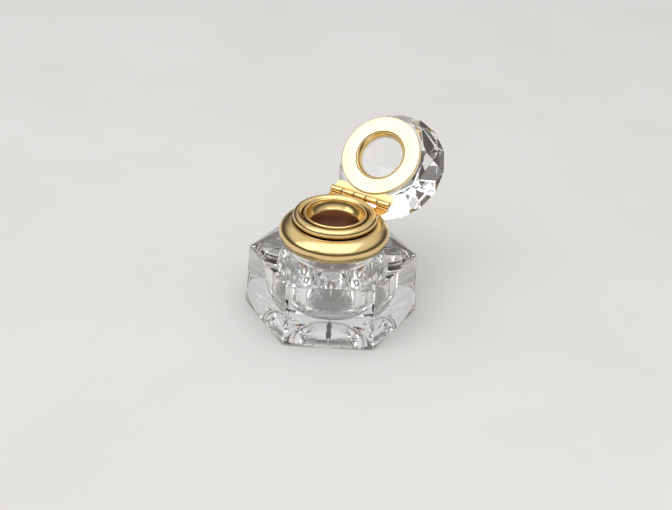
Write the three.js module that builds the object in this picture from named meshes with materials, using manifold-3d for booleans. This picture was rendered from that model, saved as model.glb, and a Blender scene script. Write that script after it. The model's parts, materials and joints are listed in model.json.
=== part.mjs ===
// A cut-crystal desk inkwell with a gilt brass collar and a hinged crystal lid.
// Millimetres, +Z up. The origin is the centre of the base, the hinge is at the back, towards +Y,
// and the lid stands open on its stop.
import * as THREE from "three";
import { ConvexGeometry } from "three/addons/geometries/ConvexGeometry.js";
import { mergeVertices } from "three/addons/utils/BufferGeometryUtils.js";
import Module from "manifold-3d";

const wasm = await Module();
wasm.setup();

// ---------------------------------------------------------------- driving dimensions

const GAP = 0.3; // between pieces that touch on the real object
const SIDES = 6; // the crystal block is a tapered hexagon
const ROUND = 40; // segments of every turned piece

const BASE_CORNER_R = 35; // across corners at the foot: 70
const RIM_CORNER_R = 33.4; // the sides lean in to this at the rim
const RIM_Z = 26; // height of the rim, where the sides end and the shoulder starts
const CORNER_LIFT = 1.4; // how far the ground foot lifts each lower corner
const FOOT_INSET = 0.3; // how far the ground foot stands in from the flats
const SHOULDER_R = 20.7; // where the shoulder facets meet the collar
const SHOULDER_Z = 31.4;
const NECK_R = 17; // crystal neck inside the collar
const NECK_TOP = 37;

const NECK_BORE_R = 11;
const WELL_R = 17.5; // the ink well, a cylinder with rounded ends
const WELL_FLOOR = 4.5;
const WELL_FLOOR_ROUND = 9; // radius between its floor and its wall
const WELL_SHOULDER = 25; // where its wall starts to close towards the neck
const WELL_THROAT = 33.5; // where it has closed to the bore of the neck
const WELL_BEND = { below: 4, above: 3, out: 1 }; // how far the shoulder curve's handles reach

const STAR_RAYS = 12; // mitre cuts under the foot, long and short in turn
const STAR_LONG = { inner: 3.5, outer: 27.5 };
const STAR_SHORT = { inner: 9.5, outer: 19 };
const STAR_WIDTH = 2.4;
const STAR_DEPTH = 0.8;

const SHEET = 0.8; // brass sheet of the collar
const SKIRT_R = 20.7; // hem of the collar
const SKIRT_Z = 32;
const SKIRT_BELLY = [21.8, 35.2]; // where the skirt is widest, as radius and height
const SKIRT_BELOW = [21.5, 33, 21.8, 34.2]; // handles of its curve from the hem to the belly
const SKIRT_ABOVE = [21.7, 37.55, 19.5, 38.95]; // and from the belly to its top
const SKIRT_TOP_R = 17.2; // where it meets the flat top of the collar
const SKIRT_TOP_Z = 39.55;
const SKIRT_INSIDE_TOP_R = 16.4;
const SKIRT_INSIDE = [20.8, 37.6, 21.6, 34.6]; // handles of its inner face, from the top down
const FLANGE_Z = 39.4; // flat top of the collar, under the rim bead
const FLANGE_INNER_R = 12.4;
const BEAD_R = 14.75; // centre line of the rim bead
const BEAD_Z = 41.6;
const BEAD_THICK = 1.85; // radius of its section
const LIP_R = 11.85; // centre line of the mouth's rolled lip
const LIP_Z = 42.85;
const LIP_THICK = 0.55;
const LIP_START_DEG = -29; // where the lip's section leaves the funnel's outer face
const MOUTH_BORE_R = 9.5;
const FUNNEL_Z = 39.3; // lower end of the funnel
const FUNNEL_DROP = 0.2; // its outer face ends this far below its inner face
const FUNNEL_CURVE = [11.15, 41.25]; // handle of the funnel's inner curve
const CEMENT_ROOM = 0.4; // between the cement and the metal beside it
const CEMENT_OUTSIDE = [21.05, 34, 20.75, 36.6]; // handles of its outer face, from the bottom up
const CEMENT_SHOULDER_R = 15.7;
const LINER_Z = 30.2; // lower end of the tube
const LINER_WALL = 0.6;

const HINGE_Y = 19.4;
const HINGE_Z = 42.15;
const HINGE_LENGTH = 27;
const KNUCKLES = 5;
const KNUCKLE_R = 1.4;
const PIN_R = 0.6;
const PIN_HOLE_R = 0.68;
const PIN_OVERHANG = 0.35; // the peened ends stand proud of the barrel
const LEAF_THICK = 0.5;
const LID_OPEN_DEG = 132.5; // turned back from closed to its stop

// The lid's own heights are measured up from the hinge axis, with the lid closed.
const LID_FACE = 1.5; // the flat brass face that rests on the rim bead
const LID_RING_R = 16.9;
const LID_RING_DEPTH = 2.3;
const LID_HOLE_R = 10.5;
const LID_RING_ROUND = 0.5; // radius on its outer lower edge
const LID_RING_SEAT_R = 11.7; // step above the hole, which holds the bezel's flange
const BEZEL_FACE_R = 10.2;
const BEZEL_FLANGE_R = 11;
const BEZEL_INNER_R = 8.8;
const BEZEL_TOP = 4.6;
const BEZEL_SUNK = 0.1; // how far the bezel's lower edge stands back from the ring's face
const BEZEL_CURVE_Z = 2.6; // height of the handle of its inner curve
const LID_CEMENT_THICK = 0.5;
const LID_CEMENT_INSET = 0.4; // how far the cement stands in from the ring's edge
const LID_LEAF_REACH = 4.6;
const LID_LEAF_TAPER = 1.2;
const COLLAR_LEAF_REACH = 9;
const COLLAR_LEAF_TAPER = 1;
const KNUCKLE_FOOT = 0.6; // how far a knuckle's foot runs past its barrel, into the leaf
const KNUCKLE_FOOT_GAP = 0.2; // between the pin's hole and the foot
const SOLDER_GAP = 0.1; // extra room where a leaf is cut round its ring

const CROWN_FOLD = 8; // the lid crystal has eight-fold facets
const LID_FOOT_R = 18.7; // underside of the lid crystal
const LID_BELT_R = 23.6; // widest, where the crown facets start
const LID_BELT_H = 11; // heights above the crystal's underside
const LID_CROWN_R = 17;
const LID_CROWN_H = 15.5;
const LID_APEX_H = 24;

const BACK_DEG = 90; // the direction of +Y, which a corner of the block and the hinge share
const PAST = 1; // how far a cutting shape runs past what it cuts

// ---------------------------------------------------------------- materials

const crystal = () => new THREE.MeshStandardMaterial({ color: 0xe9ecf1, roughness: 0.04, metalness: 0.0 });
const brass = () => new THREE.MeshStandardMaterial({ color: 0xd9ab52, roughness: 0.22, metalness: 1.0 });
const paleBrass = () => new THREE.MeshStandardMaterial({ color: 0xf0dc9a, roughness: 0.3, metalness: 1.0 });
const steel = () => new THREE.MeshStandardMaterial({ color: 0x8d8272, roughness: 0.35, metalness: 1.0 });
const cement = () => new THREE.MeshStandardMaterial({ color: 0xb9ad97, roughness: 0.9, metalness: 0.0 });

// ---------------------------------------------------------------- solids

const toSolid = (geometry) => {
  const bare = geometry.index ? geometry.toNonIndexed() : geometry.clone();
  for (const name of Object.keys(bare.attributes)) {
    if (name !== "position") bare.deleteAttribute(name);
  }
  const merged = mergeVertices(bare, 1e-4);
  const vertProperties = new Float32Array(merged.attributes.position.array);
  const triVerts = new Uint32Array(merged.index.array);
  return new wasm.Manifold(new wasm.Mesh({ numProp: 3, vertProperties, triVerts }));
};

const toGeometry = (solid) => {
  const mesh = solid.getMesh();
  const geometry = new THREE.BufferGeometry();
  geometry.setAttribute("position", new THREE.BufferAttribute(new Float32Array(mesh.vertProperties), 3));
  geometry.setIndex(new THREE.BufferAttribute(new Uint32Array(mesh.triVerts), 1));
  geometry.computeVertexNormals();
  return geometry;
};

const asMesh = (name, geometry, material) => {
  const mesh = new THREE.Mesh(geometry, material);
  mesh.name = name;
  return mesh;
};

const polar = (radius, degrees, z) => {
  const turn = THREE.MathUtils.degToRad(degrees);
  return new THREE.Vector3(radius * Math.cos(turn), radius * Math.sin(turn), z);
};

const ring = (count, radius, z, firstDegrees) =>
  Array.from({ length: count }, (_, i) => polar(radius, firstDegrees + (360 / count) * i, z));

// A turned piece about +Z. The path holds (radius, height) points, ends on the axis or closes on
// itself, and runs up the outside and back down the inside.
const turned = (path, divisions = 5) => {
  const points = path.getPoints(divisions);
  const clean = points.filter((p, i) => i === 0 || p.distanceTo(points[i - 1]) > 1e-6);
  const geometry = new THREE.LatheGeometry(clean, ROUND);
  geometry.rotateX(Math.PI / 2);
  return geometry;
};

// Extrudes an outline in the Y-Z plane along +X, from x = start.
const alongX = (shape, start, length, curveSegments = 12) => {
  const geometry = new THREE.ExtrudeGeometry(shape, { depth: length, bevelEnabled: false, curveSegments });
  geometry.rotateZ(Math.PI / 2);
  geometry.rotateY(Math.PI / 2);
  geometry.translate(start, 0, 0);
  return geometry;
};

// ---------------------------------------------------------------- crystal block

const blockOutside = () => {
  const apothem = Math.cos(Math.PI / SIDES);
  const points = [
    ...ring(SIDES, BASE_CORNER_R, 0, BACK_DEG),
    ...ring(SIDES, RIM_CORNER_R, RIM_Z, BACK_DEG),
    ...ring(2 * SIDES, SHOULDER_R, SHOULDER_Z, BACK_DEG),
  ];
  const facets = toSolid(new ConvexGeometry(points));

  // The foot is ground to a shallow cone, which lifts the corners and rounds each lower edge.
  const footR = BASE_CORNER_R * apothem - FOOT_INSET;
  const cone = new THREE.Path();
  cone.moveTo(0, 0);
  cone.lineTo(footR, 0);
  cone.lineTo(BASE_CORNER_R, CORNER_LIFT);
  cone.lineTo(BASE_CORNER_R + PAST, RIM_Z);
  cone.lineTo(BASE_CORNER_R + PAST, NECK_TOP);
  cone.lineTo(0, NECK_TOP);
  const neck = new THREE.Path();
  neck.moveTo(0, RIM_Z);
  neck.lineTo(NECK_R, RIM_Z);
  neck.lineTo(NECK_R, NECK_TOP);
  neck.lineTo(0, NECK_TOP);
  return facets.intersect(toSolid(turned(cone))).add(toSolid(turned(neck)));
};

const well = () => {
  const path = new THREE.Path();
  path.moveTo(0, WELL_FLOOR);
  path.lineTo(WELL_R - WELL_FLOOR_ROUND, WELL_FLOOR);
  path.absarc(WELL_R - WELL_FLOOR_ROUND, WELL_FLOOR + WELL_FLOOR_ROUND, WELL_FLOOR_ROUND, -Math.PI / 2, 0);
  path.lineTo(WELL_R, WELL_SHOULDER);
  path.bezierCurveTo(
    WELL_R, WELL_SHOULDER + WELL_BEND.below,
    NECK_BORE_R + WELL_BEND.out, WELL_THROAT - WELL_BEND.above,
    NECK_BORE_R, WELL_THROAT);
  path.lineTo(NECK_BORE_R, NECK_TOP + PAST);
  path.lineTo(0, NECK_TOP + PAST);
  return toSolid(turned(path, 5));
};

// One mitre cut: a long boat shape, deepest at its middle and pointed at both ends.
const mitre = (reach, degrees) => {
  const middle = (reach.inner + reach.outer) / 2;
  const points = [
    new THREE.Vector3(reach.inner, 0, 0),
    new THREE.Vector3(reach.outer, 0, 0),
    new THREE.Vector3(middle, -STAR_WIDTH / 2, 0),
    new THREE.Vector3(middle, STAR_WIDTH / 2, 0),
    new THREE.Vector3(middle, 0, STAR_DEPTH),
    new THREE.Vector3(middle, 0, -PAST),
  ];
  const geometry = new ConvexGeometry(points);
  geometry.rotateZ(THREE.MathUtils.degToRad(degrees));
  return toSolid(geometry);
};

const crystalBlock = () => {
  let block = blockOutside().subtract(well());
  for (let i = 0; i < STAR_RAYS; i += 1) {
    const reach = i % 2 === 0 ? STAR_LONG : STAR_SHORT;
    block = block.subtract(mitre(reach, (360 / STAR_RAYS) * i));
  }
  return asMesh("crystal_block", toGeometry(block), crystal());
};

// ---------------------------------------------------------------- collar

const collarShell = () => {
  const path = new THREE.Path();
  path.moveTo(SKIRT_R, SKIRT_Z);
  path.bezierCurveTo(...SKIRT_BELOW, ...SKIRT_BELLY);
  path.bezierCurveTo(...SKIRT_ABOVE, SKIRT_TOP_R, SKIRT_TOP_Z);
  path.lineTo(SKIRT_INSIDE_TOP_R, FLANGE_Z);
  path.lineTo(FLANGE_INNER_R, FLANGE_Z);
  path.lineTo(FLANGE_INNER_R, FLANGE_Z - SHEET);
  path.lineTo(SKIRT_INSIDE_TOP_R, FLANGE_Z - SHEET);
  path.bezierCurveTo(...SKIRT_INSIDE, SKIRT_R - SHEET, SKIRT_Z);
  path.lineTo(SKIRT_R, SKIRT_Z);
  return asMesh("collar_shell", turned(path, 5), brass());
};

const neckCement = () => {
  const path = new THREE.Path();
  const inner = NECK_R + GAP;
  const top = FLANGE_Z - SHEET - GAP;
  const linerRoom = MOUTH_BORE_R + LINER_WALL + CEMENT_ROOM;
  path.moveTo(inner, SHOULDER_Z + GAP);
  path.lineTo(SKIRT_R - SHEET - CEMENT_ROOM, SHOULDER_Z + GAP);
  path.bezierCurveTo(...CEMENT_OUTSIDE, CEMENT_SHOULDER_R, top);
  path.lineTo(linerRoom, top);
  path.lineTo(linerRoom, NECK_TOP + GAP);
  path.lineTo(inner, NECK_TOP + GAP);
  path.lineTo(inner, SHOULDER_Z + GAP);
  return asMesh("neck_cement", turned(path, 3), cement());
};

const rimRing = () => {
  const path = new THREE.Path();
  const inner = BEAD_R - BEAD_THICK;
  const low = BEAD_Z - BEAD_THICK;
  path.moveTo(inner, low);
  path.lineTo(BEAD_R, low);
  path.absarc(BEAD_R, BEAD_Z, BEAD_THICK, -Math.PI / 2, Math.PI);
  path.lineTo(inner, low);
  return asMesh("rim_ring", turned(path, 7), brass());
};

const mouthLiner = () => {
  const path = new THREE.Path();
  const outer = MOUTH_BORE_R + LINER_WALL;
  path.moveTo(outer, LINER_Z);
  path.lineTo(outer, FUNNEL_Z - FUNNEL_DROP);
  path.absarc(LIP_R, LIP_Z, LIP_THICK, THREE.MathUtils.degToRad(LIP_START_DEG), Math.PI);
  path.quadraticCurveTo(...FUNNEL_CURVE, MOUTH_BORE_R, FUNNEL_Z);
  path.lineTo(MOUTH_BORE_R, LINER_Z);
  path.lineTo(outer, LINER_Z);
  return asMesh("mouth_liner", turned(path, 4), brass());
};

// ---------------------------------------------------------------- hinge

// Both hinge leaves are drawn about the hinge axis, with y running away from the lid's centre.
const knuckleLength = HINGE_LENGTH / KNUCKLES;

const knuckleSpans = (parity) =>
  Array.from({ length: KNUCKLES }, (_, i) => i)
    .filter((i) => i % 2 === parity)
    .map((i) => ({
      start: -HINGE_LENGTH / 2 + i * knuckleLength + GAP / 2,
      length: knuckleLength - GAP,
    }));

// A knuckle seen along the axis: a tube with a foot that runs to (footY, footZ) on its leaf.
const knuckleOutline = (footY, lowZ, highZ) => {
  const foot = new THREE.Shape();
  foot.moveTo(0, lowZ);
  foot.lineTo(footY, lowZ);
  foot.lineTo(footY, highZ);
  foot.lineTo(0, highZ);
  foot.closePath();
  return foot;
};

const tube = (outerR, holeR, start, length) => {
  const outer = new THREE.Shape();
  outer.absarc(0, 0, outerR, 0, 2 * Math.PI);
  const solid = toSolid(alongX(outer, start, length, 14));
  const hole = new THREE.Shape();
  hole.absarc(0, 0, holeR, 0, 2 * Math.PI);
  return { solid, hole: toSolid(alongX(hole, start - PAST, length + 2 * PAST, 12)) };
};

const disc = (radius, lowZ, highZ, centreY) => {
  const path = new THREE.Path();
  path.moveTo(0, lowZ);
  path.lineTo(radius, lowZ);
  path.lineTo(radius, highZ);
  path.lineTo(0, highZ);
  const geometry = turned(path);
  geometry.translate(0, centreY, 0);
  return toSolid(geometry);
};

const plate = (halfNear, halfFar, nearY, farY, lowZ, highZ) => {
  const points = [];
  for (const z of [lowZ, highZ]) {
    points.push(new THREE.Vector3(-halfNear, nearY, z), new THREE.Vector3(halfNear, nearY, z));
    points.push(new THREE.Vector3(-halfFar, farY, z), new THREE.Vector3(halfFar, farY, z));
  }
  return toSolid(new ConvexGeometry(points));
};

const hingeLeaf = (parity, sheet, lowZ, highZ) => {
  let leaf = sheet;
  const holes = [];
  for (const span of knuckleSpans(parity)) {
    const barrel = tube(KNUCKLE_R, PIN_HOLE_R, span.start, span.length);
    const outline = knuckleOutline(-KNUCKLE_R - KNUCKLE_FOOT, lowZ, highZ);
    const foot = toSolid(alongX(outline, span.start, span.length));
    leaf = leaf.add(foot).add(barrel.solid);
    holes.push(barrel.hole);
  }
  for (const hole of holes) leaf = leaf.subtract(hole);
  return leaf;
};

const collarLeaf = () => {
  const low = SKIRT_TOP_Z + GAP - HINGE_Z;
  const high = low + LEAF_THICK;
  const half = HINGE_LENGTH / 2;
  const ringHole = disc(BEAD_R + BEAD_THICK + GAP + SOLDER_GAP, low - PAST, high + PAST, -HINGE_Y);
  const sheet = plate(half, half - COLLAR_LEAF_TAPER, -KNUCKLE_R - GAP, -COLLAR_LEAF_REACH, low, high)
    .subtract(ringHole);
  const leaf = hingeLeaf(0, sheet, low, -PIN_HOLE_R - KNUCKLE_FOOT_GAP);
  return asMesh("collar_hinge_leaf", toGeometry(leaf), brass());
};

const lidLeaf = () => {
  const low = LID_FACE + SOLDER_GAP;
  const high = low + LEAF_THICK;
  const half = HINGE_LENGTH / 2;
  const ringHole = disc(LID_RING_R + GAP, low - PAST, high + PAST, -HINGE_Y);
  const sheet = plate(half, half - LID_LEAF_TAPER, -KNUCKLE_R - GAP, -LID_LEAF_REACH, low, high)
    .subtract(ringHole);
  const leaf = hingeLeaf(1, sheet, PIN_HOLE_R + KNUCKLE_FOOT_GAP, high);
  return asMesh("lid_hinge_leaf", toGeometry(leaf), brass());
};

const hingePin = () => {
  const shape = new THREE.Shape();
  shape.absarc(0, 0, PIN_R, 0, 2 * Math.PI);
  const length = HINGE_LENGTH + 2 * PIN_OVERHANG;
  return asMesh("hinge_pin", alongX(shape, -length / 2, length, 12), steel());
};

// ---------------------------------------------------------------- lid

const lidTurned = (path, divisions) => {
  const geometry = turned(path, divisions);
  geometry.translate(0, -HINGE_Y, 0);
  return geometry;
};

const lidRing = () => {
  const path = new THREE.Path();
  const top = LID_FACE + LID_RING_DEPTH;
  const roundR = LID_RING_R - LID_RING_ROUND;
  path.moveTo(LID_HOLE_R, LID_FACE);
  path.lineTo(roundR, LID_FACE);
  path.absarc(roundR, LID_FACE + LID_RING_ROUND, LID_RING_ROUND, -Math.PI / 2, 0);
  path.lineTo(LID_RING_R, top);
  path.lineTo(LID_RING_SEAT_R, top);
  path.lineTo(LID_RING_SEAT_R, LID_FACE + SHEET);
  path.lineTo(LID_HOLE_R, LID_FACE + SHEET);
  path.lineTo(LID_HOLE_R, LID_FACE);
  return asMesh("lid_ring", lidTurned(path, 2), paleBrass());
};

const lidBezel = () => {
  const path = new THREE.Path();
  const seat = LID_FACE + SHEET + GAP;
  path.moveTo(BEZEL_FACE_R, LID_FACE + BEZEL_SUNK);
  path.lineTo(BEZEL_FACE_R, seat);
  path.lineTo(BEZEL_FLANGE_R, seat);
  path.lineTo(BEZEL_FLANGE_R, BEZEL_TOP);
  path.lineTo(BEZEL_INNER_R, BEZEL_TOP);
  path.quadraticCurveTo(BEZEL_INNER_R, BEZEL_CURVE_Z, BEZEL_FACE_R, LID_FACE + BEZEL_SUNK);
  return asMesh("lid_bezel", lidTurned(path, 4), brass());
};

const lidCement = () => {
  const path = new THREE.Path();
  const low = LID_FACE + LID_RING_DEPTH + GAP;
  const inner = BEZEL_FLANGE_R + GAP;
  const outer = LID_RING_R - LID_CEMENT_INSET;
  path.moveTo(inner, low);
  path.lineTo(outer, low);
  path.lineTo(outer, low + LID_CEMENT_THICK);
  path.lineTo(inner, low + LID_CEMENT_THICK);
  path.lineTo(inner, low);
  return asMesh("lid_cement", lidTurned(path, 1), cement());
};

const lidCrystal = () => {
  const foot = LID_FACE + LID_RING_DEPTH + LID_CEMENT_THICK + 2 * GAP;
  const half = 180 / CROWN_FOLD;
  const points = [
    ...ring(CROWN_FOLD, LID_FOOT_R, foot, BACK_DEG + half),
    ...ring(2 * CROWN_FOLD, LID_BELT_R, foot + LID_BELT_H, BACK_DEG + half / 2),
    ...ring(CROWN_FOLD, LID_CROWN_R, foot + LID_CROWN_H, BACK_DEG),
    new THREE.Vector3(0, 0, foot + LID_APEX_H),
  ];
  const geometry = new ConvexGeometry(points);
  geometry.translate(0, -HINGE_Y, 0);
  return asMesh("lid_crystal", toGeometry(toSolid(geometry)), crystal());
};

// ---------------------------------------------------------------- assembly

const inkwell = new THREE.Group();
inkwell.add(crystalBlock(), neckCement(), collarShell(), rimRing(), mouthLiner());

const hinge = new THREE.Group();
hinge.position.set(0, HINGE_Y, HINGE_Z);
hinge.add(collarLeaf(), hingePin());
inkwell.add(hinge);

const lid = new THREE.Group();
lid.position.set(0, HINGE_Y, HINGE_Z);
lid.rotation.x = THREE.MathUtils.degToRad(-LID_OPEN_DEG);
lid.add(lidLeaf(), lidRing(), lidBezel(), lidCement(), lidCrystal());
inkwell.add(lid);

export default inkwell;
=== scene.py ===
"""The looks of a cut-crystal desk inkwell with a hinged lid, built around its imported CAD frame.

Shapes are drawn in millimetres and scaled to metres once, when a piece is finished. Turned pieces are
outlines of (radius, height) points. The lid's pieces are drawn with the lid closed, with heights measured
from the hinge axis, and placed by the matrix LID_PLACE.
"""
import json
import math

import bmesh
import bpy
from mathutils import Matrix, Vector

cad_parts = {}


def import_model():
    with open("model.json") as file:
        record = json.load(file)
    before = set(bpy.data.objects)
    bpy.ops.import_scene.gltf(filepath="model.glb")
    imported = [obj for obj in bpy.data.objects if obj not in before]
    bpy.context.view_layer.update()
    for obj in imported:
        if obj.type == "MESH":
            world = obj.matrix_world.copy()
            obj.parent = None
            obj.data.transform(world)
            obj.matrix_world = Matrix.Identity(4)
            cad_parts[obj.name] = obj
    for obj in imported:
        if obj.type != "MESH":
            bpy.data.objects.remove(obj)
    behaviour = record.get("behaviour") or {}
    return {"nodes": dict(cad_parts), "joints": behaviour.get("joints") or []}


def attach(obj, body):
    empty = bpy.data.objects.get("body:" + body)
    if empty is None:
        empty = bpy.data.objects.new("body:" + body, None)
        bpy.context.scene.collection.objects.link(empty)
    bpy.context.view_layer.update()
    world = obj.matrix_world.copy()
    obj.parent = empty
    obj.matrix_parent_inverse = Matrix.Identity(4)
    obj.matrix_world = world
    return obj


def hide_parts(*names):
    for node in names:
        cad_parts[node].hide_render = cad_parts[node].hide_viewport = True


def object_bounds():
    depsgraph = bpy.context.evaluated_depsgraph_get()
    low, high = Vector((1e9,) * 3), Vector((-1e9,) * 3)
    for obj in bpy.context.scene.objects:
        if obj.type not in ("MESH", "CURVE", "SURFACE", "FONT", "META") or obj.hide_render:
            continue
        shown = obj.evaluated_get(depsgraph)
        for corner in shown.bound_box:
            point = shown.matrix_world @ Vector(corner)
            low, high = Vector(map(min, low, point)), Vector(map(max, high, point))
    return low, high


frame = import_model()
cad_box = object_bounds()

MM = 0.001
TO_METRES = Matrix.Scale(MM, 4)
ROUND = 160  # segments of a turned piece
SMALL_ROUND = 48  # segments of a knuckle, its bore and the pin
SIDES = 6  # the crystal block is a hexagon
CROWN_FOLD = 8  # the lid crystal has eight-fold facets
BACK = 90  # the direction of +Y, in degrees, where the hinge is

# ---------------------------------------------------------------- the frame

joint = frame["joints"][0]
hinge_at = Vector(joint["pos_m"])
open_angle = math.radians(joint["range_deg"][1])
hinge_y = hinge_at.y / MM

HINGE_PLACE = Matrix.Translation(hinge_at)
LEAF_PLACE = HINGE_PLACE @ Matrix.Rotation(-open_angle, 4, "X")
LID_PLACE = LEAF_PLACE @ Matrix.Translation((0, -hinge_at.y, 0))


def extent(node, place=Matrix()):
    """Lowest and highest corner of a CAD node, in millimetres, in the frame that place sets."""
    inverse = place.inverted()
    corners = [(inverse @ v.co) / MM for v in frame["nodes"][node].data.vertices]
    low = Vector([min(c[i] for c in corners) for i in range(3)])
    high = Vector([max(c[i] for c in corners) for i in range(3)])
    return low, high


# ---------------------------------------------------------------- outlines


def arc(r, z, radius, start, end, steps=12):
    """Outline points along an arc about (r, z), between two angles in degrees."""
    angles = [math.radians(start + (end - start) * i / steps) for i in range(steps + 1)]
    return [(r + radius * math.cos(a), z + radius * math.sin(a)) for a in angles]


def bezier(a, b, c, d, steps=14):
    """Outline points along a cubic curve from a to d, which b and c pull towards them."""
    a, b, c, d = (Vector(p) for p in (a, b, c, d))
    points = []
    for i in range(steps + 1):
        t = i / steps
        s = 1 - t
        points.append(tuple(a * s**3 + b * 3 * s * s * t + c * 3 * s * t * t + d * t**3))
    return points


def rounded(corners, steps=4):
    """A closed outline: a corner (r, z, size) is rounded over that size, and a corner (r, z) stays sharp."""
    path = []
    for i, corner in enumerate(corners):
        here = Vector(corner[:2])
        if len(corner) < 3:
            path.append(tuple(here))
            continue
        before = Vector(corners[i - 1][:2]) - here
        after = Vector(corners[(i + 1) % len(corners)][:2]) - here
        first = here + before.normalized() * min(corner[2], before.length / 2)
        last = here + after.normalized() * min(corner[2], after.length / 2)
        for step in range(steps + 1):
            t = step / steps
            path.append(tuple(first.lerp(here, t).lerp(here.lerp(last, t), t)))
    return path


# ---------------------------------------------------------------- meshes


def lathe(path, segments=ROUND):
    """A closed outline turned about +Z."""
    bm = bmesh.new()
    rings = []
    for r, z in path:
        if r < 1e-6:
            rings.append([bm.verts.new((0, 0, z))] * segments)
            continue
        turns = [2 * math.pi * i / segments for i in range(segments)]
        rings.append([bm.verts.new((r * math.cos(a), r * math.sin(a), z)) for a in turns])
    for lower, upper in zip(rings, rings[1:] + rings[:1]):
        for i in range(segments):
            j = (i + 1) % segments
            corners = list(dict.fromkeys([lower[i], lower[j], upper[j], upper[i]]))
            if len(corners) > 2:
                bm.faces.new(corners).smooth = True
    bmesh.ops.recalc_face_normals(bm, faces=bm.faces)
    return bm


def hull(points, bevel):
    """The flat-sided solid round some points, with its edges eased by a narrow flat."""
    bm = bmesh.new()
    for point in points:
        bm.verts.new(point)
    made = bmesh.ops.convex_hull(bm, input=bm.verts)
    bmesh.ops.delete(bm, geom=[g for g in made["geom_interior"] if isinstance(g, bmesh.types.BMVert)])
    bmesh.ops.dissolve_limit(bm, angle_limit=math.radians(0.5), verts=bm.verts, edges=bm.edges)
    bmesh.ops.bevel(bm, geom=bm.edges[:], offset=bevel, segments=1, profile=0.5, affect="EDGES")
    bmesh.ops.recalc_face_normals(bm, faces=bm.faces)
    return bm


def ring(count, radius, z, first):
    """Points equally spaced round the axis."""
    turns = [math.radians(first + 360 * i / count) for i in range(count)]
    return [(radius * math.cos(a), radius * math.sin(a), z) for a in turns]


def solid(name, bm):
    """An object in the scene, still in millimetres."""
    mesh = bpy.data.meshes.new(name)
    bm.to_mesh(mesh)
    bm.free()
    obj = bpy.data.objects.new(name, mesh)
    bpy.context.scene.collection.objects.link(obj)
    return obj


def combine(target, operation, *others):
    """Joins others to target, or cuts target by them, and removes them."""
    for other in others:
        modifier = target.modifiers.new("combine", "BOOLEAN")
        modifier.solver = "EXACT"
        modifier.operation = operation
        modifier.object = other
        evaluated = target.evaluated_get(bpy.context.evaluated_depsgraph_get())
        target.data = bpy.data.meshes.new_from_object(evaluated)
        target.modifiers.clear()
        bpy.data.objects.remove(other)
    return target


def finished(obj, body, material, replaced, place=Matrix()):
    """Scales a piece to metres, puts it in its place and gives it its body, slot and material."""
    obj.data.transform(place @ TO_METRES)
    obj.data.materials.clear()
    obj.data.materials.append(material)
    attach(obj, body)
    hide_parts(replaced)


# ---------------------------------------------------------------- shader helpers


def add(tree, kind, inputs=None, **settings):
    """A new node, with its settings, and its inputs set to values or joined to sockets."""
    node = tree.nodes.new("ShaderNode" + kind)
    for name, value in settings.items():
        setattr(node, name, value)
    for key, value in (inputs or {}).items():
        if isinstance(value, bpy.types.NodeSocket):
            tree.links.new(value, node.inputs[key])
        else:
            node.inputs[key].default_value = value
    return node


def new_material(name):
    """A material, its node tree and its shader."""
    material = bpy.data.materials.new(name)
    material.use_nodes = True
    tree = material.node_tree
    shader = next(n for n in tree.nodes if n.type == "BSDF_PRINCIPLED")
    return material, tree, shader


def drawn_position(tree, place=Matrix()):
    """A point's position in the frame that its piece was drawn in, in metres."""
    position = add(tree, "TexCoord").outputs["Object"]
    inputs = {"Vector": position, "Location": place.translation, "Rotation": place.to_euler()}
    return add(tree, "Mapping", inputs, vector_type="TEXTURE").outputs[0]


def noise(tree, vector, scale, detail=3.0):
    """A noise from 0 to 1, with about scale waves to the metre."""
    inputs = {"Vector": vector, "Scale": scale, "Detail": detail, "Roughness": 0.55}
    return add(tree, "TexNoise", inputs).outputs["Fac"]


def spread(tree, value, low, high, to_low=0.0, to_high=1.0):
    """value's stretch from low to high, mapped to another stretch and clamped."""
    inputs = {"Value": value, "From Min": low, "From Max": high, "To Min": to_low, "To Max": to_high}
    return add(tree, "MapRange", inputs).outputs["Result"]


def blend(tree, factor, first, second):
    """A colour between two colours or sockets."""
    node = add(tree, "Mix", data_type="RGBA")
    for index, value in ((0, factor), (6, first), (7, second)):
        if isinstance(value, bpy.types.NodeSocket):
            tree.links.new(value, node.inputs[index])
        else:
            node.inputs[index].default_value = value
    return node.outputs[2]


def math_node(tree, operation, a, b):
    """The result of an operation on two values or sockets."""
    return add(tree, "Math", {0: a, 1: b}, operation=operation).outputs[0]


def bump(tree, height, strength, distance):
    """The surface's normal, tilted by a height."""
    inputs = {"Height": height, "Strength": strength, "Distance": distance}
    return add(tree, "Bump", inputs).outputs["Normal"]


def turning(tree, position):
    """(radius, height, 0) of a point, so that a noise on it makes lathe lines."""
    parts = add(tree, "SeparateXYZ", {0: position})
    flat = add(tree, "CombineXYZ", {0: parts.outputs["X"], 1: parts.outputs["Y"]})
    radius = add(tree, "VectorMath", {0: flat.outputs[0]}, operation="LENGTH").outputs["Value"]
    return add(tree, "CombineXYZ", {0: radius, 1: parts.outputs["Z"]}).outputs[0]


# ---------------------------------------------------------------- materials

WARM_CLEAR = (0.985, 0.978, 0.965, 1)
COOL_CLEAR = (0.968, 0.98, 0.992, 1)
BRIGHT_GILT = (0.93, 0.7, 0.33, 1)
DEEP_GILT = (0.42, 0.22, 0.075, 1)
BRIGHT_PALE_GILT = (0.97, 0.85, 0.57, 1)
DEEP_PALE_GILT = (0.62, 0.42, 0.2, 1)
# dark brown of old ink stain and painted shade down the tube of the mouth
INK_STAIN_AND_SHADE = (0.3, 0.14, 0.085, 1)
CLEAN_WIRE = (0.5, 0.43, 0.32, 1)
DULL_WIRE = (0.24, 0.19, 0.13, 1)
PALE_CEMENT = (0.5, 0.45, 0.36, 1)
STAINED_CEMENT = (0.3, 0.25, 0.18, 1)

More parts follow.
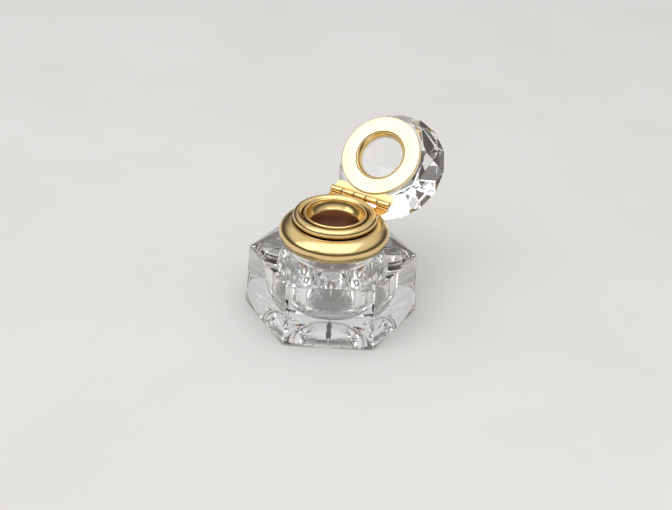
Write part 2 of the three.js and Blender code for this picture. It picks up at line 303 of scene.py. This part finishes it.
MOST_WEAR = 0.012  # roughness of the crystal where its polish is most worn
POLISH = 0.13  # roughness of the bright gilding, and the strength of its lathe lines
LINES = 0.12
SATIN = 0.24  # the same for the pale gilding of the lid ring
SATIN_LINES = 0.2
CLOUD_SHARE = 0.22  # how far tarnish, the painted shade of grooves, and specks take the gilding from bright to deep
GROOVE_SHADE_SHARE = 0.85
SPECK_SHARE = 0.5
GROOVE_SHADE_REACH = 1.6  # how near another surface has to be for the painted shade in a groove to darken it
LINE_ROUGHNESS = 0.08  # roughness that the lathe lines add, and that dulling adds
DULL_ROUGHNESS = 0.18
LINE_DEPTH = 0.04  # depth of the lathe lines
STAIN_SHADE_WANDER = 0.15  # how far the edge of the ink stain and painted shade wanders up and down, and how far it fades to each side
STAIN_SHADE_FADE = 0.5
INK_DULLING = 1.6
FUNNEL_FOOT = 39.3  # height where the funnel of the mouth meets its tube, and the ink stain and painted shade of the tube stop


def crystal_material():
    """Polished lead crystal: colourless, with faint cool and warm tints and slight wear in its polish."""
    material, tree, shader = new_material("crystal")
    position = drawn_position(tree)
    shader.inputs["Transmission Weight"].default_value = 1.0
    shader.inputs["IOR"].default_value = 1.55
    tint = spread(tree, noise(tree, position, scale=45.0), 0.35, 0.65)
    tree.links.new(blend(tree, tint, WARM_CLEAR, COOL_CLEAR), shader.inputs["Base Color"])
    wear = noise(tree, position, scale=150.0, detail=2.0)
    tree.links.new(spread(tree, wear, 0.5, 0.75, 0.0, MOST_WEAR), shader.inputs["Roughness"])
    ripple = noise(tree, position, scale=40.0, detail=0.0)
    tree.links.new(bump(tree, ripple, strength=0.05, distance=0.1 * MM), shader.inputs["Normal"])
    return material


def brass_material(name, bright, deep, polish, lines, place=Matrix(), ink_and_shade_below=None):
    """Gilt brass with lathe lines, cloudy tarnish, and painted shade darkening its grooves and wherever
    other parts come near.

    polish is its roughness where it is clean, and lines is the strength of the lathe lines. Old ink stain
    and painted shade down the tube darken it below the height given as its last argument, if there is one.
    """
    material, tree, shader = new_material(name)
    position = drawn_position(tree, place)
    shader.inputs["Metallic"].default_value = 1.0
    cloud = spread(tree, noise(tree, position, scale=70.0, detail=4.0), 0.42, 0.72, 0.0, CLOUD_SHARE)
    # painted shade: the gilding turns deep where other surfaces come near, in grooves and between parts
    shade = add(tree, "AmbientOcclusion", {"Distance": GROOVE_SHADE_REACH * MM}, samples=6).outputs["AO"]
    groove_shade = spread(tree, shade, 0.35, 0.85, GROOVE_SHADE_SHARE, 0.0)
    specks = spread(tree, noise(tree, position, scale=900.0, detail=2.0), 0.7, 0.78, 0.0, SPECK_SHARE)
    dull_and_shade = math_node(tree, "MAXIMUM", math_node(tree, "MAXIMUM", cloud, groove_shade), specks)
    colour = blend(tree, dull_and_shade, bright, deep)
    # ink stain and painted shade: the tube below the funnel foot is painted dark brown
    if ink_and_shade_below is not None:
        height = add(tree, "SeparateXYZ", {0: position}).outputs["Z"]
        wave = noise(tree, position, scale=240.0)
        wander = spread(tree, wave, 0.3, 0.7, -STAIN_SHADE_WANDER * MM, STAIN_SHADE_WANDER * MM)
        clean, covered = (ink_and_shade_below + STAIN_SHADE_FADE) * MM, (ink_and_shade_below - STAIN_SHADE_FADE) * MM
        ink_and_shade = spread(tree, math_node(tree, "ADD", height, wander), clean, covered)
        colour = blend(tree, ink_and_shade, colour, INK_STAIN_AND_SHADE)
        dull_and_shade = math_node(tree, "ADD", dull_and_shade, math_node(tree, "MULTIPLY", ink_and_shade, INK_DULLING))
    tree.links.new(colour, shader.inputs["Base Color"])
    rings = noise(tree, turning(tree, position), scale=2600.0, detail=2.0)
    lined = spread(tree, rings, 0.3, 0.7, polish, polish + LINE_ROUGHNESS)
    rough = math_node(tree, "ADD", lined, math_node(tree, "MULTIPLY", dull_and_shade, DULL_ROUGHNESS))
    tree.links.new(rough, shader.inputs["Roughness"])
    eased = add(tree, "Bevel", {"Radius": 0.12 * MM}, samples=4).outputs["Normal"]
    inputs = {"Height": rings, "Strength": lines, "Distance": LINE_DEPTH * MM, "Normal": eased}
    tree.links.new(add(tree, "Bump", inputs).outputs["Normal"], shader.inputs["Normal"])
    return material


def steel_material():
    """The dull drawn wire of the hinge pin, with lines along it."""
    material, tree, shader = new_material("pin_steel")
    position = drawn_position(tree)
    shader.inputs["Metallic"].default_value = 1.0
    along = add(tree, "Mapping", {"Vector": position, "Scale": (60.0, 4000.0, 4000.0)}).outputs[0]
    drawn = noise(tree, along, scale=1.0, detail=2.0)
    spots = spread(tree, noise(tree, position, scale=700.0), 0.45, 0.65)
    tree.links.new(blend(tree, spots, CLEAN_WIRE, DULL_WIRE), shader.inputs["Base Color"])
    tree.links.new(spread(tree, drawn, 0.3, 0.7, 0.3, 0.5), shader.inputs["Roughness"])
    tree.links.new(bump(tree, drawn, strength=0.3, distance=0.03 * MM), shader.inputs["Normal"])
    return material


def cement_material():
    """Dry plaster cement, grainy and unevenly stained."""
    material, tree, shader = new_material("cement")
    position = drawn_position(tree)
    stain = spread(tree, noise(tree, position, scale=160.0, detail=4.0), 0.35, 0.7)
    grain = noise(tree, position, scale=2600.0)
    tree.links.new(blend(tree, stain, PALE_CEMENT, STAINED_CEMENT), shader.inputs["Base Color"])
    tree.links.new(spread(tree, grain, 0.3, 0.7, 0.75, 0.95), shader.inputs["Roughness"])
    tree.links.new(bump(tree, grain, strength=0.5, distance=0.1 * MM), shader.inputs["Normal"])
    return material


def bright_gilt(name, place=Matrix(), ink_and_shade_below=None):
    """The gilding of all the brass but the lid ring."""
    return brass_material(name, BRIGHT_GILT, DEEP_GILT, POLISH, LINES, place, ink_and_shade_below)


CRYSTAL = crystal_material()
GILT = bright_gilt("gilt_brass")
# the liner's tube is painted dark below the funnel foot: ink stain and painted shade
INKED_SHADED_GILT = bright_gilt("gilt_brass_inked_shaded", ink_and_shade_below=FUNNEL_FOOT)
LID_GILT = bright_gilt("gilt_brass_lid", LID_PLACE)
PALE_GILT = brass_material("pale_gilt", BRIGHT_PALE_GILT, DEEP_PALE_GILT, SATIN, SATIN_LINES, LID_PLACE)
STEEL = steel_material()
CEMENT = cement_material()

# ---------------------------------------------------------------- crystal block

EDGE = 0.22  # the narrow flats that ease the cut edges
CORNER_LIFT = 1.4  # how far the ground foot lifts each lower corner
RIM_Z = 26.0  # height of the rim, where the shoulder facets start
SIDE_LEAN = 1.51  # how much the corners lean in from the foot to the rim
CLEAR = 1  # how far a cutter reaches past what it cuts


def crystal_block():
    """The hexagonal bottle with its shoulder facets and round neck, its well and the star under its foot."""
    high = extent("crystal_block")[1]
    collar_foot = extent("collar_shell")[0].z
    corner_r = high.y
    foot_r = corner_r + SIDE_LEAN * CORNER_LIFT / (RIM_Z - CORNER_LIFT)
    shoulder_r = 20.7
    shoulder_z = collar_foot - 0.6
    facets = hull(
        ring(SIDES, foot_r, 0, BACK)
        + ring(SIDES, corner_r - SIDE_LEAN, RIM_Z, BACK)
        + ring(2 * SIDES, shoulder_r, shoulder_z, BACK),
        EDGE,
    )
    block = solid("crystal_block_cut", facets)
    flat_r = high.x - 0.3
    past_r = foot_r + CLEAR
    ground = [(0, 0), (flat_r, 0), (foot_r, CORNER_LIFT), (past_r, RIM_Z), (past_r, high.z), (0, high.z)]
    neck_r = 17.0
    neck = [(0, RIM_Z), (neck_r, RIM_Z), (neck_r, high.z, 0.5), (0, high.z)]
    combine(block, "INTERSECT", solid("ground_foot", lathe(rounded(ground))))
    combine(block, "UNION", solid("neck", lathe(rounded(neck))))
    combine(block, "DIFFERENCE", solid("well", lathe(well_outline(high.z))), solid("star", star_cutter()))
    finished(block, "bottle", CRYSTAL, "crystal_block")


def well_outline(neck_top):
    """The ink well: a cylinder with a rounded floor, closing to the bore of the neck."""
    well_r = 17.5
    bore_r = 11.0
    floor = 4.5
    floor_round = 9.0
    shoulder = 25.0
    shoulder_pull = (well_r, shoulder + 4)
    throat = 33.5
    throat_pull = (bore_r + 1, throat - 3)
    past_top = neck_top + CLEAR
    path = [(0, floor)]
    path += arc(well_r - floor_round, floor + floor_round, floor_round, -90, 0, 24)
    path += bezier((well_r, shoulder), shoulder_pull, throat_pull, (bore_r, throat), 20)
    path += [(bore_r, past_top), (0, past_top)]
    return path


def star_cutter():
    """Mitre cuts under the foot, long and short in turn, each deepest at its middle."""
    rays = 12
    long_ray = (3.5, 27.5)  # distances of a ray's two ends from the middle of the foot
    short_ray = (9.5, 19.0)
    width = 2.4
    depth = 0.8
    bm = bmesh.new()
    for i in range(rays):
        inner, outer = long_ray if i % 2 == 0 else short_ray
        middle = (inner + outer) / 2
        turn = Matrix.Rotation(2 * math.pi * i / rays, 4, "Z")
        corners = [(inner, 0, 0), (outer, 0, 0), (middle, -width / 2, 0), (middle, width / 2, 0),
                   (middle, 0, depth), (middle, 0, -CLEAR)]
        verts = [bm.verts.new(turn @ Vector(c)) for c in corners]
        bmesh.ops.convex_hull(bm, input=verts)
    bmesh.ops.recalc_face_normals(bm, faces=bm.faces)
    return bm


# ---------------------------------------------------------------- collar

SHEET = 0.8  # brass sheet of the collar


def collar_shell():
    """The spun skirt: a rolled hem, a belly over the shoulder, and a flat top that the rim ring sits on."""
    low, high = extent("collar_shell")
    hem_r = 20.7
    hem_round = 0.3
    hem = (hem_r + 0.15, low.z + 0.5)
    hem_pull = (hem_r + 0.85, low.z + 1.2)
    belly_r = high.x
    belly_z = low.z + 3.2
    belly = (belly_r, belly_z)
    belly_pull_low = (belly_r, low.z + 2.2)
    belly_pull_high = (belly_r - 0.1, belly_z + 2.4)
    top = (17.2, high.z)
    top_pull = (hem_r - 1.2, high.z - 0.6)
    inside_r = 16.4
    flange_r = 12.4
    flange_z = high.z - 0.15
    flange_foot = flange_z - SHEET
    lining_pull_high = (hem_r, low.z + 5.6)
    lining_pull_low = (hem_r + 0.8, low.z + 2.4)
    lining_foot = (hem_r - 0.6, low.z + 0.45)
    path = arc(hem_r - 0.28, low.z + hem_round, hem_round, -170, 0, 10)
    path += bezier(hem, hem_pull, belly_pull_low, belly, 14)
    path += bezier(belly, belly_pull_high, top_pull, top, 20)[1:]
    path += rounded([(inside_r, flange_z, 0.3), (flange_r, flange_z, 0.2), (flange_r, flange_foot, 0.2)])
    path += bezier((inside_r, flange_foot), lining_pull_high, lining_pull_low, lining_foot, 24)
    shell = solid("collar_shell_spun", lathe(path))
    finished(shell, "bottle", GILT, "collar_shell")


def rim_ring():
    """The fat rolled bead round the mouth."""
    low, high = extent("rim_ring")
    thick = (high.z - low.z) / 2
    bead_r = high.x - thick
    path = rounded([(bead_r - thick, low.z, 0.3)])
    path += arc(bead_r, high.z - thick, thick, -90, 180, 44)
    rim = solid("rim_ring_rolled", lathe(path))
    finished(rim, "bottle", GILT, "rim_ring")


def mouth_liner():
    """The funnel mouth with its rolled lip, and the tube below it."""
    low, high = extent("mouth_liner")
    thick = 0.55
    lip_r = high.x - thick
    lip_z = high.z - thick
    bore_r = 9.5
    outer_r = bore_r + 0.6
    outside_bend = FUNNEL_FOOT - 0.2
    inner_lip_r = lip_r - thick
    lip_pull = (inner_lip_r - 0.1, lip_z - 1.1)
    foot_pull = (bore_r + 0.9, FUNNEL_FOOT + 1.1)
    path = rounded([(bore_r, low.z, 0.25), (outer_r, low.z, 0.25), (outer_r, outside_bend, 0.4)])
    path += arc(lip_r, lip_z, thick, -30, 180, 18)
    path += bezier((inner_lip_r, lip_z), lip_pull, foot_pull, (bore_r, FUNNEL_FOOT), 16)[1:]
    liner = solid("mouth_liner_spun", lathe(path))
    finished(liner, "bottle", INKED_SHADED_GILT, "mouth_liner")


def neck_cement():
    """The cement between the collar and the neck, and over the neck's top up to the liner."""
    low, high = extent("neck_cement")
    neck_r = 17.3
    neck_top = 37.3
    hem_r = 19.5
    belly_r, belly_z = 20.4, low.z + 2.4
    shoulder_r, shoulder_z = 19.8, low.z + 4.6
    top_r = 15.9
    liner_r = 10.5
    path = rounded([
        (neck_r, low.z), (hem_r, low.z, 0.3), (belly_r, belly_z, 0.8), (shoulder_r, shoulder_z, 0.8),
        (top_r, high.z, 0.5), (liner_r, high.z), (liner_r, neck_top), (neck_r, neck_top)])
    cement = solid("neck_cement_cast", lathe(path))
    finished(cement, "bottle", CEMENT, "neck_cement")


# ---------------------------------------------------------------- hinge

KNUCKLES = 5
LEAF = 0.5  # thickness of the hinge leaves
EASE = 0.12  # the narrow flats that ease the leaves' edges
KNUCKLE_GAP = 0.15  # from each end of a knuckle to the middle of the gap
PIN_HOLE_R = 0.68
FOOT_REACH = 0.6  # how far a knuckle's foot reaches past the barrel, along its leaf
FOOT_LEVEL = 0.88  # how near the pin's axis a foot comes
LEAF_START = 0.3  # how far from the barrel a leaf's sheet starts
COLLAR_CUT_R = 17.0  # the collar's leaf is cut round the rim bead, and the lid's round the lid ring
LID_CUT_R = 17.2
COLLAR_LEAF_TAPER = 1  # how much narrower each side of a leaf is at its far edge
LID_LEAF_TAPER = 1.2
LID_LEAF_REACH = 4.6


def along_x(bm):
    """Turns a turned shape so that its axis lies along +X."""
    bmesh.ops.rotate(bm, verts=bm.verts, matrix=Matrix.Rotation(math.radians(90), 3, "Y"))
    return bm


def barrel(radius, hole, start, end):
    """A knuckle: a short tube along X with eased ends."""
    path = rounded([(hole, start, 0.1), (radius, start, 0.25), (radius, end, 0.25), (hole, end, 0.1)])
    return along_x(lathe(path, SMALL_ROUND))


def plate(half_near, half_far, near_y, far_y, low, high):
    """A flat sheet, half_near to each side at near_y and half_far to each side at far_y."""
    corners = [(x, y, z) for z in (low, high) for half, y in ((half_near, near_y), (half_far, far_y))
               for x in (-half, half)]
    return hull(corners, EASE)


def block(x0, x1, y0, y1, z0, z1):
    """A box with eased edges."""
    return hull([(x, y, z) for x in (x0, x1) for y in (y0, y1) for z in (z0, z1)], EASE)


def hinge_leaf(name, first, sheet, cut_r, foot_low, foot_high, length, radius):
    """A leaf: its sheet, cut round at cut_r, with every other knuckle from the first, each on its foot."""
    pitch = length / KNUCKLES
    deep = 9  # half the cutter's height
    rough_hole = 0.3  # the bore is cut to its full width once the knuckles are joined on
    leaf = solid(name, sheet)
    disc = lathe([(0, -deep), (cut_r, -deep), (cut_r, deep), (0, deep)])
    bmesh.ops.translate(disc, verts=disc.verts, vec=(0, -hinge_y, 0))
    combine(leaf, "DIFFERENCE", solid("disc", disc))
    for i in range(first, KNUCKLES, 2):
        start = -length / 2 + i * pitch + KNUCKLE_GAP
        end = start + pitch - 2 * KNUCKLE_GAP
        foot = block(start, end, -radius - FOOT_REACH, 0, foot_low, foot_high)
        combine(leaf, "UNION", solid("foot", foot), solid("barrel", barrel(radius, rough_hole, start, end)))
    bore = lathe([(0, -length), (PIN_HOLE_R, -length), (PIN_HOLE_R, length), (0, length)], SMALL_ROUND)
    combine(leaf, "DIFFERENCE", solid("bore", along_x(bore)))
    return leaf


def hinge():
    """The two leaves and the pin, drawn about the pin's axis."""
    pin_high = extent("hinge_pin", HINGE_PLACE)[1]
    collar_low, collar_high = extent("collar_hinge_leaf", HINGE_PLACE)
    lid_top = extent("lid_hinge_leaf", LEAF_PLACE)[1].z
    radius = collar_high.y
    length = collar_high.x - collar_low.x + 2 * KNUCKLE_GAP
    half = length / 2
    near = -radius - LEAF_START

    base = collar_low.z
    sheet = plate(half, half - COLLAR_LEAF_TAPER, near, collar_low.y, base, base + LEAF)
    leaf = hinge_leaf("collar_hinge_leaf_worked", 0, sheet, COLLAR_CUT_R, base, -FOOT_LEVEL, length, radius)
    finished(leaf, "bottle", GILT, "collar_hinge_leaf", HINGE_PLACE)

    sheet = plate(half, half - LID_LEAF_TAPER, near, -LID_LEAF_REACH, lid_top - LEAF, lid_top)
    leaf = hinge_leaf("lid_hinge_leaf_worked", 1, sheet, LID_CUT_R, FOOT_LEVEL, lid_top, length, radius)
    finished(leaf, "lid", LID_GILT, "lid_hinge_leaf", LEAF_PLACE)

    pin_r = pin_high.z
    reach = pin_high.x
    head = 0.3
    path = [(0, -reach)] + arc(0, -reach + pin_r, pin_r, -80, -40, 6) + [(pin_r, -reach + head)]
    path += [(pin_r, reach - head)] + arc(0, reach - pin_r, pin_r, 40, 80, 6) + [(0, reach)]
    pin = solid("hinge_pin_peened", along_x(lathe(path, SMALL_ROUND)))
    finished(pin, "bottle", STEEL, "hinge_pin", HINGE_PLACE)


# ---------------------------------------------------------------- lid


def lid_ring():
    """The flat ring under the lid, with a step round its hole that the bezel's flange lies in."""
    low, high = extent("lid_ring", LID_PLACE)
    outer_r = high.x
    hole_r = 10.5
    step_r = hole_r + 1.2
    step_z = low.z + SHEET
    path = rounded([
        (hole_r, low.z, 0.15), (outer_r, low.z, 0.6), (outer_r, high.z, 0.2),
        (step_r, high.z), (step_r, step_z), (hole_r, step_z, 0.1)])
    lapped = solid("lid_ring_lapped", lathe(path))
    finished(lapped, "lid", PALE_GILT, "lid_ring", LID_PLACE)


def lid_bezel():
    """The ring in the lid ring's hole, flared towards its face, with a flange above."""
    low, high = extent("lid_bezel", LID_PLACE)
    face_r = 10.2
    inner_r = 8.8
    flange_r = high.x
    flange_z = low.z + 1.0
    flare_top = (inner_r, high.z - 0.3)
    flare_pull_high = (inner_r, low.z + 1.7)
    flare_pull_low = (inner_r + 0.5, low.z + 0.7)
    flare_foot = (face_r - 0.1, low.z)
    path = rounded([(face_r, low.z, 0.1), (face_r, flange_z), (flange_r, flange_z), (flange_r, high.z, 0.1),
                    (inner_r, high.z, 0.15)])
    path += bezier(flare_top, flare_pull_high, flare_pull_low, flare_foot, 14)
    bezel = solid("lid_bezel_spun", lathe(path))
    finished(bezel, "lid", LID_GILT, "lid_bezel", LID_PLACE)


def lid_cement():
    """The ring of cement between the lid ring and the crystal."""
    low, high = extent("lid_cement", LID_PLACE)
    inner_r = 11.3
    outer_r = high.x
    path = rounded([
        (inner_r, low.z, 0.1), (outer_r, low.z, 0.1), (outer_r, high.z, 0.1), (inner_r, high.z, 0.1)])
    cement = solid("lid_cement_cast", lathe(path))
    finished(cement, "lid", CEMENT, "lid_cement", LID_PLACE)


def lid_crystal():
    """The lid: eight flats at its foot, sixteen belt corners, eight crown facets and a point."""
    low, high = extent("lid_crystal", LID_PLACE)
    foot_r = 18.7
    belt_r = 23.6
    belt_z = low.z + 11
    crown_r = 17.0
    crown_z = low.z + 15.5
    half = 180 / CROWN_FOLD
    facets = hull(
        ring(CROWN_FOLD, foot_r, low.z, BACK + half)
        + ring(2 * CROWN_FOLD, belt_r, belt_z, BACK + half / 2)
        + ring(CROWN_FOLD, crown_r, crown_z, BACK)
        + [(0, 0, high.z)],
        EDGE,
    )
    lid = solid("lid_crystal_cut", facets)
    finished(lid, "lid", CRYSTAL, "lid_crystal", LID_PLACE)


# ---------------------------------------------------------------- floor, light and camera

AIM = Vector((1.05, 0.6, 24.05)) * MM  # the point that the camera and the lights face
FLOOR_PALE = (0.8, 0.795, 0.785, 1)
FLOOR_DEEP = (0.76, 0.752, 0.74, 1)
WORLD_LOW = (0.1, 0.09, 0.085, 1)
WORLD_HIGH = (0.74, 0.73, 0.72, 1)


def direction(azimuth, elevation):
    """A unit vector from the object: azimuth 0 is the front, towards -Y, and 90 is +X."""
    a, e = math.radians(azimuth), math.radians(elevation)
    return Vector((math.sin(a) * math.cos(e), -math.cos(a) * math.cos(e), math.sin(e)))


def floor():
    """A wide pale floor, just under the object."""
    material, tree, shader = new_material("studio_floor")
    position = drawn_position(tree)
    mottle = spread(tree, noise(tree, position, scale=9.0, detail=5.0), 0.3, 0.7)
    tree.links.new(blend(tree, mottle, FLOOR_DEEP, FLOOR_PALE), shader.inputs["Base Color"])
    shader.inputs["Roughness"].default_value = 0.7
    reach = 6.0
    drop = 0.05  # keeps the floor off the object's foot
    bm = bmesh.new()
    bmesh.ops.create_grid(bm, x_segments=2, y_segments=2, size=reach)
    mesh = bpy.data.meshes.new("studio_floor")
    bm.to_mesh(mesh)
    bm.free()
    mesh.materials.append(material)
    obj = bpy.data.objects.new("studio_floor", mesh)
    obj.location.z = cad_box[0].z - drop * MM
    bpy.context.scene.collection.objects.link(obj)


def softbox(name, azimuth, elevation, distance, width, height, watts):
    """A white rectangular light that faces the object, with lengths in metres."""
    light = bpy.data.lights.new(name, "AREA")
    light.shape = "RECTANGLE"
    light.size = width
    light.size_y = height
    light.energy = watts
    obj = bpy.data.objects.new(name, light)
    back = direction(azimuth, elevation)
    obj.location = AIM + back * distance
    obj.rotation_mode = "QUATERNION"
    obj.rotation_quaternion = back.to_track_quat("Z", "Y")
    bpy.context.scene.collection.objects.link(obj)


def world():
    """A grey studio, dark at the height of the object and pale overhead."""
    made = bpy.data.worlds.new("studio")
    made.use_nodes = True
    tree = made.node_tree
    up = add(tree, "SeparateXYZ", {0: add(tree, "TexCoord").outputs["Generated"]}).outputs["Z"]
    rise = spread(tree, up, 0.35, 0.6)
    shade = blend(tree, rise, WORLD_LOW, WORLD_HIGH)
    background = next(n for n in tree.nodes if n.type == "BACKGROUND")
    tree.links.new(shade, background.inputs["Color"])
    background.inputs["Strength"].default_value = 1.0
    bpy.context.scene.world = made


def camera():
    """The camera, above the object and to its right, turned a little about its own axis."""
    azimuth = 30.1
    elevation = 30.48
    roll = math.radians(3.14)
    distance = 0.419
    data = bpy.data.cameras.new("camera")
    data.sensor_width = 36.0
    data.lens = 56.25
    data.clip_start = 0.01
    obj = bpy.data.objects.new("camera", data)
    back = direction(azimuth, elevation)
    right = Vector((0, 0, 1)).cross(back).normalized()
    up = back.cross(right)
    right, up = right * math.cos(roll) + up * math.sin(roll), up * math.cos(roll) - right * math.sin(roll)
    turn = Matrix((right, up, back)).transposed().to_4x4()
    obj.matrix_world = Matrix.Translation(AIM + back * distance) @ turn
    bpy.context.scene.collection.objects.link(obj)
    bpy.context.scene.camera = obj


crystal_block()
collar_shell()
rim_ring()
mouth_liner()
neck_cement()
hinge()
lid_ring()
lid_bezel()
lid_cement()
lid_crystal()

floor()
world()
softbox("key", azimuth=-37, elevation=44, distance=1.7, width=1.1, height=1.1, watts=3.9)
softbox("top", azimuth=38, elevation=76, distance=1.7, width=1.9, height=2.2, watts=14)
camera()

scene = bpy.context.scene
scene.view_settings.view_transform = "Standard"
scene.cycles.max_bounces = 24  # light crosses many facets inside the crystal
scene.cycles.transmission_bounces = 24
scene.cycles.glossy_bounces = 16
